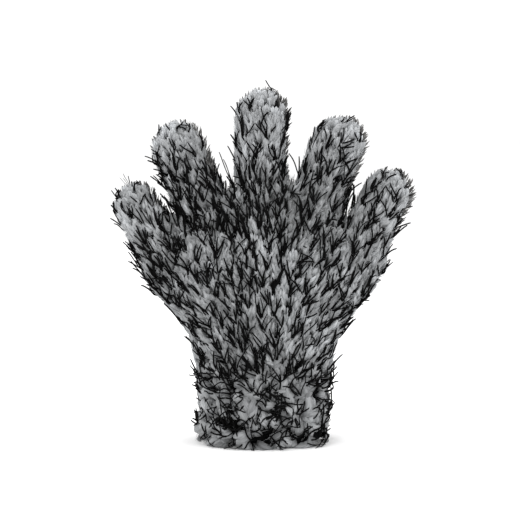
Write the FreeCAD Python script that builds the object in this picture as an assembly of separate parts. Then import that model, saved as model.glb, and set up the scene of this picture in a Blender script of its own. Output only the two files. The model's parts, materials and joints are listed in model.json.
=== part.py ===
import FreeCAD, Part
import math
import os

# A five-finger microfibre wash glove standing on its cuff, in millimetres.
# +Z runs from the cuff to the fingertips, the palm faces -Y, and +X is the palm's right.
# The origin is the middle of the cuff's lower edge, on the surface that the glove stands on.

Vector = FreeCAD.Vector

# Layers of the cloth, from the outside in.
PILE = 10.0                # depth of the pile, from its surface to the backing cloth
LINING = 1.5               # the soft inner cloth that touches the hand
GAP = 0.5                  # clearance between bodies that turn against each other

# The glove's body at each level: height, half width and half depth.
BODY_LEVELS = [
    (-1.0, 52.0, 36.8),
    (20.0, 51.8, 36.5),
    (45.0, 52.5, 35.0),
    (62.0, 54.5, 33.0),
    (80.0, 60.0, 31.0),
    (100.0, 71.5, 28.5),
    (120.0, 83.5, 26.5),
    (145.0, 88.0, 25.5),
    (175.0, 80.0, 25.0),
    (210.0, 45.0, 24.5),
]
BODY_TOP = 209.0

# Wrist: the glove bends here about a line along X.
WRIST_HEIGHT = 60.0
WRIST_RADIUS = 33.0
WRIST_RANGE = (-30.0, 45.0)

# Fingers: knuckle (x, z), lean from upright in degrees, length from the knuckle to the
# middle of the round tip, and the radius at the knuckle and at the tip.
FINGERS = {
    "thumb": ((-74.8, 141.0), -28.0, 41.9, 22.0, 19.0),
    "index": ((-48.0, 182.6), -21.0, 39.9, 22.5, 22.5),
    "middle": ((-2.0, 200.0), 1.3, 44.0, 22.0, 22.0),
    "ring": ((41.8, 186.0), 20.0, 40.0, 22.5, 22.5),
    "little": ((72.3, 148.0), 28.0, 44.1, 22.0, 20.5),
}
KNUCKLE_RANGE = (-20.0, 75.0)
WEB_DROP = 9.0             # the cloth between two fingers ends this far under the knuckles
KNUCKLE_ROOM = 6.0         # a knuckle's clearance reaches this far past the finger on each side
MOUTH_WALL = 4.0           # wall left at the open lower rim of a finger

# Seam allowance between the palm-side and back-side panels.
SEAM_WIDTH = 1.2
SEAM_DEPTH = 3.0

# Cuff hem: a folded tape with an elastic band in its channel.
HEM_BOTTOM = 1.0
HEM_TOP = 20.0
HEM_SIZE = (51.7, 35.9)     # half width and half depth of the cuff round the hem
HEM_PLAY = 0.2             # between the hem and the pile's backing
HEM_DEPTH = 2.6
TAPE = 0.8                 # thickness of the tape
CHANNEL_BOTTOM = 4.0
ELASTIC_BOTTOM = 5.0
ELASTIC_TOP = 15.0
ELASTIC_PLAY = 0.05        # between the elastic and each wall of its channel

# Stitching that closes the hem, on its inner face.
STITCH_ROWS = (3.0, 17.0)
THREAD = 0.5
STITCH_COUNT = 60          # in one row
STITCH_SPACE = 1.0
STITCH_CORE = 20.0         # the blades that part a row start this far from the glove's axis

# Blank care label, sewn into the hem at the back.
LABEL_WIDTH = 18.0
LABEL_THICKNESS = 0.6
LABEL_FRONT = 21.9         # y of its front face
LABEL_BOTTOM = 8.0
LABEL_TOP = 26.0

FAR = 400.0                # larger than the glove


def block(x_range, y_range, z_range):
    """A box between two limits on each axis."""
    size = [high - low for low, high in (x_range, y_range, z_range)]
    return Part.makeBox(*size, Vector(x_range[0], y_range[0], z_range[0]))


def slab(low, high):
    """Everything between two heights."""
    return block((-FAR, FAR), (-FAR, FAR), (low, high))


FRONT_HALF = block((-FAR, FAR), (-FAR, 0), (-FAR, FAR))
BACK_HALF = block((-FAR, FAR), (0, FAR), (-FAR, FAR))
SEAM_PLANE = block((-FAR, FAR), (-SEAM_WIDTH / 2, SEAM_WIDTH / 2), (-FAR, FAR))


def body_level(height, half_width, half_depth, inset):
    """Outline of the body at one level: flat front and back, and round sides."""
    flat = half_width - half_depth
    depth = half_depth - inset
    front_left = Vector(-flat, -depth, height)
    front_right = Vector(flat, -depth, height)
    back_right = Vector(flat, depth, height)
    back_left = Vector(-flat, depth, height)
    right_side = Part.Arc(front_right, Vector(flat + depth, 0, height), back_right)
    left_side = Part.Arc(back_left, Vector(-flat - depth, 0, height), front_left)
    return Part.Wire([
        Part.LineSegment(front_left, front_right).toShape(),
        right_side.toShape(),
        Part.LineSegment(back_right, back_left).toShape(),
        left_side.toShape(),
    ])


def body_core(inset):
    """The body's outer shape, cuff and palm, taken in by inset."""
    levels = [body_level(*level, inset) for level in BODY_LEVELS]
    return Part.makeLoft(levels, True, False)


def body_layer(outer_inset, inner_inset):
    """A layer of the body between two insets."""
    return body_core(outer_inset).cut(body_core(inner_inset)).common(slab(0, BODY_TOP))


def bend_sweep(radius, bend_range, reach):
    """Profile, in the YZ plane, that a round member turning about the origin passes through."""
    low, high = [math.radians(angle) for angle in bend_range]
    front_tangent = Vector(0, -radius * math.cos(high), -radius * math.sin(high))
    back_tangent = Vector(0, radius * math.cos(low), radius * math.sin(low))
    front_far = front_tangent + Vector(0, -math.sin(high), math.cos(high)) * reach
    back_far = back_tangent + Vector(0, -math.sin(low), math.cos(low)) * reach
    corners = [front_tangent, back_tangent, back_far, Vector(0, -reach, reach * 2), front_far]
    return Part.Face(Part.makePolygon(corners + corners[:1]))


def sweep_solid(radius, bend_range, half_length, reach):
    """The solid of bend_sweep along X."""
    profile = bend_sweep(radius, bend_range, reach)
    profile.translate(Vector(-half_length, 0, 0))
    return profile.extrude(Vector(2 * half_length, 0, 0))


def x_cylinder(radius, half_length):
    """A cylinder along X, centred on the origin."""
    return Part.makeCylinder(radius, 2 * half_length, Vector(-half_length, 0, 0), Vector(1, 0, 0))


def at_wrist(shape):
    """Moves a shape made about the origin to the wrist."""
    shape.translate(Vector(0, 0, WRIST_HEIGHT))
    return shape


def at_knuckle(shape, finger):
    """Moves a shape made about the origin, pointing up, to a finger's knuckle."""
    (knuckle_x, knuckle_z), lean = FINGERS[finger][:2]
    shape.rotate(Vector(0, 0, 0), Vector(0, 1, 0), lean)
    shape.translate(Vector(knuckle_x, 0, knuckle_z))
    return shape


def wrist_sweep():
    """What the palm passes through as it bends at the wrist."""
    radius = WRIST_RADIUS + GAP
    half_length = FAR / 2
    sweep = sweep_solid(radius, WRIST_RANGE, half_length, FAR)
    return at_wrist(x_cylinder(radius, half_length).fuse(sweep))


def finger_sweep(finger):
    """What a finger passes through as it bends at its knuckle."""
    radius = FINGERS[finger][3] + GAP
    sweep = sweep_solid(radius, KNUCKLE_RANGE, radius + KNUCKLE_ROOM, FAR)
    return at_knuckle(Part.makeSphere(radius).fuse(sweep), finger)


def under_knuckle(finger, across):
    """A point under a finger's knuckle, moved across the finger towards +X."""
    return at_knuckle(Part.Vertex(across, -FAR, -WEB_DROP), finger).Point


def web_cut():
    """Everything past the line that joins the knuckles, a little under them."""
    line = [under_knuckle(finger, 0) for finger in FINGERS]
    ends = [under_knuckle("thumb", -FAR / 2), under_knuckle("little", FAR / 2)]
    corners = ends[:1] + line + ends[1:] + [Vector(FAR, -FAR, FAR), Vector(-FAR, -FAR, FAR)]
    return Part.Face(Part.makePolygon(corners + corners[:1])).extrude(Vector(0, 2 * FAR, 0))


def palm_zone():
    """The space that the palm owns, between the wrist and the knuckles."""
    zone = slab(WRIST_HEIGHT, FAR).fuse(at_wrist(x_cylinder(WRIST_RADIUS, FAR / 2)))
    return zone.cut([web_cut()] + [finger_sweep(finger) for finger in FINGERS])


def taper(base, tip, length):
    """A round bar from the origin upwards, as a cone or, where it doesn't narrow, a cylinder."""
    if base == tip:
        return Part.makeCylinder(base, length)
    return Part.makeCone(base, tip, length)


def finger_outside(finger):
    """A finger's outer shape: a ball at the knuckle, a taper and a round tip."""
    _, _, length, base, tip = FINGERS[finger]
    end = Part.makeSphere(tip, Vector(0, 0, length))
    return at_knuckle(Part.makeSphere(base).fuse([taper(base, tip, length), end]), finger)


def finger_core(finger, inset):
    """A finger's inside, taken in by inset, with a mouth that widens into the palm."""
    _, _, length, base, tip = FINGERS[finger]
    depth = base + 1.0
    mouth = Part.makeCone(base - MOUTH_WALL - inset + PILE, base - inset, depth, Vector(0, 0, -depth))
    bore = taper(base - inset, tip - inset, length)
    end = Part.makeSphere(tip - inset, Vector(0, 0, length))
    return at_knuckle(mouth.fuse([bore, end]), finger)


def panels(pile, seam):
    """Splits the pile into its palm-side and back-side panels, clear of the seam."""
    cloth = pile.cut(seam)
    return cloth.common(FRONT_HALF), cloth.common(BACK_HALF)


def solids_of(shape):
    """The shape's solids, alone or as a compound."""
    solids = shape.Solids
    return solids[0] if len(solids) == 1 else Part.Compound(solids)


def make_body():
    """Pile, lining and side seams of the cuff and the palm."""
    cuff_cut = wrist_sweep()
    palm = palm_zone()
    pile = body_layer(0.0, PILE)
    lining = body_layer(PILE, PILE + LINING)
    seam = body_layer(PILE - SEAM_DEPTH, PILE).common(SEAM_PLANE)
    nodes = {}
    front, back = panels(pile.cut(cuff_cut), seam)
    nodes["cuff_front_pile"] = front
    nodes["cuff_back_pile"] = back
    nodes["cuff_lining"] = lining.cut([cuff_cut, slab(0, HEM_TOP)])
    nodes["cuff_side_seams"] = seam.cut(cuff_cut)
    front, back = panels(pile.common(palm), seam)
    nodes["palm_front_pile"] = front
    nodes["palm_back_pile"] = back
    nodes["palm_lining"] = lining.common(palm)
    nodes["palm_side_seams"] = seam.common(palm)
    return nodes


def make_finger(finger):
    """Pile, lining and seam of one finger."""
    outside = finger_outside(finger)
    pile = outside.cut(finger_core(finger, PILE))
    cloth = finger_core(finger, PILE).cut(finger_core(finger, PILE + LINING))
    seam_shell = finger_core(finger, PILE - SEAM_DEPTH).cut(finger_core(finger, PILE))
    seam = seam_shell.common([outside]).common(SEAM_PLANE)
    front, back = panels(pile, seam)
    return {
        finger + "_front_pile": front,
        finger + "_back_pile": back,
        finger + "_lining": cloth.common(outside),
        finger + "_seam": seam,
    }


def hem_ring(outer_inset, depth, bottom, top):
    """A straight-sided ring inside the cuff's pile."""
    rims = []
    for inset in (outer_inset, outer_inset + depth):
        half_width, half_depth = HEM_SIZE
        outline = body_level(bottom, half_width, half_depth, PILE + HEM_PLAY + inset)
        rims.append(Part.Face(outline).extrude(Vector(0, 0, top - bottom)))
    return rims[0].cut(rims[1])


def stitch_row(height):
    """One row of stitches on the hem's inner face."""
    blades = []
    for number in range(STITCH_COUNT):
        blade = block((STITCH_CORE, FAR), (-STITCH_SPACE / 2, STITCH_SPACE / 2), (0, HEM_TOP))
        blade.rotate(Vector(0, 0, 0), Vector(0, 0, 1), 360.0 * (number + 0.5) / STITCH_COUNT)
        blades.append(blade)
    return hem_ring(HEM_DEPTH, THREAD, height, height + THREAD).cut(blades).Solids


def make_hem():
    """The cuff's folded hem tape, its elastic band, the stitching and the care label."""
    channel_depth = HEM_DEPTH - 2 * TAPE
    tape = hem_ring(0.0, HEM_DEPTH, HEM_BOTTOM, HEM_TOP)
    channel = hem_ring(TAPE, channel_depth, CHANNEL_BOTTOM, HEM_TOP)
    band_inset = TAPE + ELASTIC_PLAY
    band_depth = channel_depth - 2 * ELASTIC_PLAY
    label_y = (LABEL_FRONT, LABEL_FRONT + LABEL_THICKNESS)
    return {
        "cuff_hem": tape.cut(channel),
        "cuff_elastic": hem_ring(band_inset, band_depth, ELASTIC_BOTTOM, ELASTIC_TOP),
        "hem_stitching": Part.Compound([solid for row in STITCH_ROWS for solid in stitch_row(row)]),
        "care_label": block((-LABEL_WIDTH / 2, LABEL_WIDTH / 2), label_y, (LABEL_BOTTOM, LABEL_TOP)),
    }


def main():
    """Writes one STEP file per piece."""
    nodes = make_body()
    nodes.update(make_hem())
    for finger in FINGERS:
        nodes.update(make_finger(finger))
    os.makedirs("parts", exist_ok=True)
    for name, shape in nodes.items():
        shape = solids_of(shape)
        shape.exportStep("parts/" + name + ".step")
        print(name, len(shape.Solids), shape.isValid(), round(shape.Volume / 1000.0, 2), "cm3")


main()
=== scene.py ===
"""The looks of a five-finger microfibre wash glove: a backing cloth coloured near-black as painted shade
between the tufts, with long two-tone pile sewn on the palm side and shorter grey-brown pile on the back, a
lining, a hemmed elastic cuff and its stitching."""
import json
import math

import bpy
import numpy as np
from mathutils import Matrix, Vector, kdtree


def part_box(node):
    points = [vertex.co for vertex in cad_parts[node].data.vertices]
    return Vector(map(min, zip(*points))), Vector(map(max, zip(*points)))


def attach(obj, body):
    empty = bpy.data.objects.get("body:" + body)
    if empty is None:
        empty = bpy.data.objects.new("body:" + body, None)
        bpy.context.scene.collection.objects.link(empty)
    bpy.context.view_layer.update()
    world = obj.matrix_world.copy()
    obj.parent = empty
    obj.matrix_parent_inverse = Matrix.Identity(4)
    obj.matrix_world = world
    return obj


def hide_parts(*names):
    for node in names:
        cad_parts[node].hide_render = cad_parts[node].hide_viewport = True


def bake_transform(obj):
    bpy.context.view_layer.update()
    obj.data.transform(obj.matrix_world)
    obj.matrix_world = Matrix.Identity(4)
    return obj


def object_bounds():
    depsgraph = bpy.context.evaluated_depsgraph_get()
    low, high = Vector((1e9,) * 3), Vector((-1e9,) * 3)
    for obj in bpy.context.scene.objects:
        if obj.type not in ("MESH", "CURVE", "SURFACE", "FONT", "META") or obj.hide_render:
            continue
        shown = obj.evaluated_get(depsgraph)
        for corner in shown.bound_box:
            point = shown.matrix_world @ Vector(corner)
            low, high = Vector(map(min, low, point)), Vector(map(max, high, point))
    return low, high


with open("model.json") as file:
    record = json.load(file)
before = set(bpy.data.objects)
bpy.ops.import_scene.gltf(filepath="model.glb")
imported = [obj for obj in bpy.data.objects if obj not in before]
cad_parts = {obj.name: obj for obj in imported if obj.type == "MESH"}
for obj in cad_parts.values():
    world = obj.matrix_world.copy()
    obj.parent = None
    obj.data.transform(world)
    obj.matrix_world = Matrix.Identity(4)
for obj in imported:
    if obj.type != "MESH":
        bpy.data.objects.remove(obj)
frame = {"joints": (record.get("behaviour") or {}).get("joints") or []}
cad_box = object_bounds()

RANDOM = np.random.default_rng(11)
MM = 0.001

# ------------------------------------------------
# The glove's shape, from the frame. All lengths are in metres.

FINGER_NAMES = ("thumb", "index", "middle", "ring", "little")
JOINTS = {joint["name"]: joint for joint in frame["joints"]}
WRIST = np.array(JOINTS["wrist_bend"]["pos_m"])

PILE_HEIGHT = 7.0 * MM         # how far the lying pile stands off the backing cloth
CLOTH = 2.2 * MM               # from the backing cloth to the lining


class Finger:
    """A finger's axis and radii, read from its hinge and its CAD box."""

    def __init__(self, name):
        self.name = name
        joint = JOINTS[name + "_bend"]
        self.root = np.array(joint["pos_m"], float)
        self.across = np.array(joint["axis"], float)
        self.along = np.array([-self.across[2], 0.0, self.across[0]])
        low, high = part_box(name + "_front_pile")
        rise = high.z - self.root[2]
        reach = high.x - self.root[0] if self.along[0] > 0 else self.root[0] - low.x
        cosine = self.along[2]
        sine = abs(self.along[0])
        self.length = (rise - reach) / (cosine - sine)
        self.tip_radius = rise - self.length * cosine
        self.base_radius = -low.y
        self.tip = self.root + self.along * self.length

    def height(self, points):
        """Distance of points past the knuckle, along the finger."""
        return (points - self.root) @ self.along


FINGERS = [Finger(name) for name in FINGER_NAMES]
KNUCKLE_X = [finger.root[0] for finger in FINGERS]
KNUCKLE_Z = [finger.root[2] for finger in FINGERS]
LEANS = [math.atan2(finger.along[0], finger.along[2]) for finger in FINGERS]

CUFF_LOW, CUFF_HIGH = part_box("cuff_front_pile")
CUFF_HALF_WIDTH = CUFF_HIGH.x
CUFF_HALF_DEPTH = -CUFF_LOW.y
KNUCKLE_LEVEL = FINGERS[0].root[2]

# The body's outline: share of the thumb knuckle's height, and shares of the cuff's half width and half depth.
BODY_OUTLINE = [
    (-0.05, 0.99, 0.97),
    (0.13, 0.97, 0.96),
    (0.32, 0.98, 0.92),
    (0.46, 1.02, 0.87),
    (0.58, 1.12, 0.83),
    (0.70, 1.34, 0.78),
    (0.82, 1.62, 0.74),
    (0.93, 1.80, 0.71),
    (1.05, 1.84, 0.69),
    (1.25, 1.66, 0.67),
    (1.45, 1.10, 0.66),
]
OVAL_POWER = 2.5               # 2 is an ellipse, more is squarer
KNUCKLE_ROUNDING = 14 * MM     # how far round its edge the body's top is rounded
WEB_ROUNDING = 10 * MM         # the same where the webs meet the body
FINGER_ROUNDING = 7 * MM       # and where the fingers meet it
FINGER_SUNK = 12 * MM          # how far each finger's form reaches down into the body
WEB_DROP = 18 * MM             # from the crotch of two fingers down to the start of the web
WEB_LENGTH = 30 * MM
WEB_RADII = (16 * MM, 22 * MM)
WEB_AIM = 20 * MM              # how far below the line of the knuckles a web points
FLATTEST = 0.05                # least squared slope of the field that a move onto the surface allows for
LONGEST_MOVE = 4 * MM


def smooth_min(a, b, reach):
    """The lower of two fields, rounded where they meet."""
    share = np.clip(0.5 + 0.5 * (b - a) / reach, 0.0, 1.0)
    return b * (1 - share) + a * share - reach * share * (1 - share)


def bar_field(points, start, end, start_radius, end_radius):
    """Distance to a tapered bar with round ends."""
    span = end - start
    share = np.clip(((points - start) @ span) / (span @ span), 0.0, 1.0)
    centre = start + share[:, None] * span
    radius = start_radius + (end_radius - start_radius) * share
    return np.linalg.norm(points - centre, axis=1) - radius


def outline_at(height):
    """The pile's half width and half depth at a height."""
    share = height / KNUCKLE_LEVEL
    table = np.array(BODY_OUTLINE)
    half_width = np.interp(share, table[:, 0], table[:, 1]) * CUFF_HALF_WIDTH
    half_depth = np.interp(share, table[:, 0], table[:, 2]) * CUFF_HALF_DEPTH
    return half_width, half_depth


def body_field(points, inset):
    """Rough distance to the cuff and palm, closed along the line of the knuckles."""
    half_width, half_depth = outline_at(points[:, 2])
    u = np.abs(points[:, 0]) / (half_width - inset)
    v = np.abs(points[:, 1]) / (half_depth - inset)
    oval = (u ** OVAL_POWER + v ** OVAL_POWER) ** (1 / OVAL_POWER) + 1e-6
    slope_u = (u / oval) ** (OVAL_POWER - 1) / (half_width - inset)
    slope_v = (v / oval) ** (OVAL_POWER - 1) / (half_depth - inset)
    side = (oval - 1) / (np.hypot(slope_u, slope_v) + 1e-3)
    top = points[:, 2] - np.interp(points[:, 0], KNUCKLE_X, KNUCKLE_Z) + inset * 0.4
    return -smooth_min(-side, -top * 0.8, KNUCKLE_ROUNDING)


def finger_field(points, finger, inset):
    """Distance to one finger, taken in by inset."""
    start = finger.root - finger.along * FINGER_SUNK
    base_radius = finger.base_radius - inset - 1 * MM
    return bar_field(points, start, finger.tip, base_radius, finger.tip_radius - inset)


def crotch(a, b):
    """Where the facing sides of two fingers meet."""
    side_a = a.root + a.across * (a.base_radius + a.tip_radius) / 2
    side_b = b.root - b.across * (b.base_radius + b.tip_radius) / 2
    system = np.array([[a.along[0], -b.along[0]], [a.along[2], -b.along[2]]])
    gap = side_b - side_a
    share = np.linalg.solve(system, np.array([gap[0], gap[2]]))[0]
    return side_a + a.along * share


def web_field(points, a, b, inset):
    """The cloth between two fingers."""
    top = crotch(a, b)
    middle = (a.root + b.root) / 2
    down = middle - top
    down[2] -= WEB_AIM
    down = down / np.linalg.norm(down)
    start = top + down * WEB_DROP
    high, low = WEB_RADII
    return bar_field(points, start, start + down * WEB_LENGTH, high - inset, low - inset)


def part_fields(points, inset):
    """Fields of the body, with the webs, and of each finger."""
    body = body_field(points, inset)
    for a, b in zip(FINGERS, FINGERS[1:]):
        body = smooth_min(body, web_field(points, a, b, inset), WEB_ROUNDING)
    return body, [finger_field(points, finger, inset) for finger in FINGERS]


def glove_field(points, inset=PILE_HEIGHT):
    """The whole glove's field, negative inside."""
    field, fingers = part_fields(points, inset)
    for finger in fingers:
        field = smooth_min(field, finger, FINGER_ROUNDING)
    return field


def gradient(points, inset=PILE_HEIGHT, step=0.4 * MM):
    """Slope of the glove's field."""
    slopes = []
    for axis in range(3):
        shift = np.zeros(3)
        shift[axis] = step
        rise = glove_field(points + shift, inset) - glove_field(points - shift, inset)
        slopes.append(rise / (2 * step))
    return np.stack(slopes, 1)


def unit(vectors):
    """Vectors of length one."""
    return vectors / (np.linalg.norm(vectors, axis=1, keepdims=True) + 1e-12)


def onto_cloth(points, inset=PILE_HEIGHT, rounds=4):
    """Moves points onto the glove's surface."""
    for _ in range(rounds):
        slope = gradient(points, inset)
        square = (slope ** 2).sum(1)
        move = glove_field(points, inset) / np.maximum(square, FLATTEST)
        points = points - slope * np.clip(move, -LONGEST_MOVE, LONGEST_MOVE)[:, None]
    return points


def owners(points):
    """Which part each point is on: -1 for the body, or a finger's number. A finger starts at its knuckle."""
    body, fingers = part_fields(points, PILE_HEIGHT)
    fields = np.stack([body] + fingers)
    nearest = fields.argmin(0) - 1
    for number, finger in enumerate(FINGERS):
        nearest[(nearest == number) & (finger.height(points) < 0)] = -1
    return nearest


# ------------------------------------------------
# Meshes

def surface_net(step, inset):
    """Quads over the glove's surface, from a grid of the field."""
    low = np.array(cad_box[0]) - 8 * MM
    high = np.array(cad_box[1]) + 8 * MM
    axes = [np.arange(a, b, step) for a, b in zip(low, high)]
    grid = np.stack(np.meshgrid(*axes, indexing="ij"), -1)
    inside = glove_field(grid.reshape(-1, 3), inset).reshape(grid.shape[:3]) < 0
    cells = np.array(inside.shape) - 1
    count = np.zeros(cells, int)
    for i in (0, 1):
        for j in (0, 1):
            for k in (0, 1):
                count += inside[i:i + cells[0], j:j + cells[1], k:k + cells[2]]
    mixed = (count > 0) & (count < 8)
    index = np.full(cells, -1)
    index[mixed] = np.arange(mixed.sum())
    vertices = low + (np.argwhere(mixed) + 0.5) * step
    quads = []
    for a in range(3):
        b, c = (a + 1) % 3, (a + 2) % 3
        near = np.take(inside, range(inside.shape[a] - 1), axis=a)
        far = np.take(inside, range(1, inside.shape[a]), axis=a)
        at = np.argwhere(near != far)
        at = at[(at[:, b] > 0) & (at[:, c] > 0) & (at[:, b] < cells[b]) & (at[:, c] < cells[c])]
        shift_b = np.eye(3, dtype=int)[b]
        shift_c = np.eye(3, dtype=int)[c]
        shifts = (0 * shift_b, shift_b, shift_b + shift_c, shift_c)
        quad = np.stack([index[tuple((at - shift).T)] for shift in shifts], 1)
        outward = near[tuple(at.T)]
        quads.append(np.where(outward[:, None], quad, quad[:, ::-1]))
    quads = np.concatenate(quads)
    quads = quads[(quads >= 0).all(1)]
    for _ in range(3):
        vertices = onto_cloth(relaxed(vertices, quads), inset, 2)
    return vertices, quads


def relaxed(vertices, quads):
    """Each vertex moved halfway to the middle of its neighbours."""
    total = np.zeros_like(vertices)
    count = np.zeros(len(vertices))
    for a, b in ((0, 1), (1, 2), (2, 3), (3, 0)):
        np.add.at(total, quads[:, a], vertices[quads[:, b]])
        np.add.at(total, quads[:, b], vertices[quads[:, a]])
        np.add.at(count, quads[:, a], 1)
        np.add.at(count, quads[:, b], 1)
    return (vertices + total / np.maximum(count, 1)[:, None]) / 2


def linked(name, data):
    """A new object in the scene."""
    made = bpy.data.objects.new(name, data)
    bpy.context.scene.collection.objects.link(made)
    return made


def new_object(name, vertices, faces, material, attributes=None, strips=None):
    """A mesh object from an array of vertices and arrays of faces, each array with one size of face. strips
    holds each vertex's place on a UV map named OFBake, for colours to be baked into. Without it, the mesh
    gets no UV map."""
    mesh = bpy.data.meshes.new(name)
    mesh.vertices.add(len(vertices))
    mesh.vertices.foreach_set("co", np.ascontiguousarray(vertices, np.float32).ravel())
    corners = np.concatenate([part.ravel() for part in faces])
    sizes = np.concatenate([np.full(len(part), part.shape[1]) for part in faces])
    mesh.loops.add(len(corners))
    mesh.loops.foreach_set("vertex_index", corners.astype(np.int32))
    mesh.polygons.add(len(sizes))
    mesh.polygons.foreach_set("loop_start", (np.cumsum(sizes) - sizes).astype(np.int32))
    mesh.polygons.foreach_set("use_smooth", np.ones(len(sizes), bool))
    mesh.update(calc_edges=True)
    if strips is not None:
        layer = mesh.uv_layers.new(name="OFBake")
        layer.data.foreach_set("uv", np.ascontiguousarray(strips[corners], np.float32).ravel())
    for key, values in (attributes or {}).items():
        kind, field = ("FLOAT_VECTOR", "vector") if values.ndim == 2 else ("FLOAT", "value")
        layer = mesh.attributes.new(key, kind, "POINT")
        layer.data.foreach_set(field, np.ascontiguousarray(values, np.float32).ravel())
    mesh.materials.append(material)
    return linked(name, mesh)


def part_of_net(vertices, quads, chosen):
    """The chosen quads with only the vertices that they use."""
    kept = quads[chosen]
    used, renumbered = np.unique(kept, return_inverse=True)
    return vertices[used], renumbered.reshape(kept.shape)


def shell(vertices, quads, inset, thickness):
    """A closed sheet of cloth, from its outer face: both faces and the rim between them."""
    inner = vertices - unit(gradient(vertices, inset)) * thickness
    edges = np.concatenate([quads[:, [side, (side + 1) % 4]] for side in range(4)])
    count = len(vertices)
    shared = np.isin(edges[:, 0] * count + edges[:, 1], edges[:, 1] * count + edges[:, 0])
    start, end = edges[~shared].T
    rim = np.stack([end, start, start + count, end + count], 1)
    return np.concatenate([vertices, inner]), np.concatenate([quads, quads[:, ::-1] + count, rim])


def ring(points, outward, profile, ripple):
    """A closed ring with the same profile all round. profile holds each point's depth behind the outline and
    its height, and ripple how far each place round the ring is moved in."""
    depths, heights = np.array(profile).T
    around, rows = len(points), len(profile)
    inward = depths[None] + ripple[:, None]
    vertices = np.empty((around, rows, 3))
    vertices[..., :2] = points[:, None] - outward[:, None] * inward[..., None]
    vertices[..., 2] = heights
    at = np.arange(around)[:, None] * rows + np.arange(rows)
    above = np.roll(at, -1, 1)
    quads = np.stack([at, above, np.roll(above, -1, 0), np.roll(at, -1, 0)], -1)
    return vertices.reshape(-1, 3), quads.reshape(-1, 4)


# ------------------------------------------------
# Roots of the pile

TRIES_PER_PLACE = 2.6          # random points for each root that there is room for


def scattered(vertices, quads, spacing, least):
    """Points over the cloth about spacing(points) apart, in random order. least is the smallest spacing."""
    triangles = np.concatenate([quads[:, [0, 1, 2]], quads[:, [0, 2, 3]]])
    a, b, c = (vertices[triangles[:, k]] for k in range(3))
    areas = np.linalg.norm(np.cross(b - a, c - a), axis=1) / 2
    total = int(areas.sum() / (least ** 2) * TRIES_PER_PLACE)
    chosen = RANDOM.choice(len(areas), total, p=areas / areas.sum())
    u, v = RANDOM.random((2, total))
    over = u + v > 1
    u[over], v[over] = 1 - u[over], 1 - v[over]
    points = a[chosen] + u[:, None] * (b - a)[chosen] + v[:, None] * (c - a)[chosen]
    points = onto_cloth(points, PILE_HEIGHT, 1)
    tree = kdtree.KDTree(total)
    for number, point in enumerate(points):
        tree.insert(point, number)
    tree.balance()
    reach = spacing(points)
    open_points = np.ones(total, bool)
    kept = []
    for number in range(total):
        if open_points[number]:
            kept.append(number)
            near = [found[1] for found in tree.find_range(points[number], reach[number])]
            open_points[near] = False
    return points[kept]


WAVES = RANDOM.normal(size=(4, 8, 3))
PHASES = RANDOM.uniform(0, 2 * math.pi, (4, 8))


def waves(points, scale, kind):
    """A smooth random field from -1 to 1 that changes over about scale metres."""
    turns = points @ (WAVES[kind].T / scale) + PHASES[kind]
    return np.clip(np.sin(turns).mean(1) * 2.2, -1, 1)


def combing(points, owner):
    """The way the pile is brushed: along each finger, and fanned over the palm."""
    half_width, _ = outline_at(points[:, 2])
    x = points[:, 0] * abs(KNUCKLE_X[0]) / half_width
    lean = np.interp(x, KNUCKLE_X, LEANS)
    for number, angle in enumerate(LEANS):
        lean[owner == number] = angle
    return np.stack([np.sin(lean), np.zeros(len(points)), np.cos(lean)], 1)


RUFFLE_TOP = WRIST[2] + 10 * MM
RUFFLE_REACH = 40 * MM
GLOOM_DROP = 19 * MM           # from the line of the knuckles down to the middle of the dark band
GLOOM_WIDTH = 23 * MM
GLOOM_SIDE = (-26 * MM, 50 * MM)    # where across the hand the band is darkest, and how wide that is
CUFF_GLOOM = (-13 * MM, 22 * MM)    # the same for the dark patch that runs up the cuff
CUFF_GLOOM_TOP = 112 * MM
CUFF_GLOOM_REACH = 30 * MM


def bell(places, middle, width):
    """1 at the middle, falling off smoothly to both sides."""
    return np.exp(-((places - middle) / width) ** 2)


def ruffle(points):
    """How untidy the pile is, from 0 on the palm to 1 on the cuff."""
    return np.clip((RUFFLE_TOP - points[:, 2]) / RUFFLE_REACH, 0.0, 1.0)


def gloom(points):
    """How dark the pile is, from 0 to 1: most over the knuckles, some up the middle of the cuff, least on
    the fingers."""
    line = np.interp(points[:, 0], KNUCKLE_X, KNUCKLE_Z)
    band = bell(points[:, 2] - line, -GLOOM_DROP, GLOOM_WIDTH) * (0.2 + bell(points[:, 0], *GLOOM_SIDE))
    below = np.clip((CUFF_GLOOM_TOP - points[:, 2]) / CUFF_GLOOM_REACH, 0, 1)
    low = bell(points[:, 0], *CUFF_GLOOM) * below
    return np.clip(band + 0.5 * low + 0.2 * waves(points, 16 * MM, 0), 0.0, 1.0)


def tip_share(points, owner):
    """0 at the knuckle and below, rising to 1 at a fingertip."""
    share = np.zeros(len(points))
    for number, finger in enumerate(FINGERS):
        mine = owner == number
        whole = finger.length + finger.tip_radius * 0.7
        share[mine] = np.clip(finger.height(points[mine]) / whole, 0.0, 1.0)
    return share


FINGER_WRAP = 10 * MM
BODY_WRAP = 2 * MM


def front_of(points, normals, owner):
    """True where the palm-side panel is. On right-hand edges the back panel wraps round to the front."""
    wrap = np.where(owner >= 0, FINGER_WRAP, BODY_WRAP)
    return points[:, 1] < -wrap * np.maximum(normals[:, 0], 0)


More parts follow.
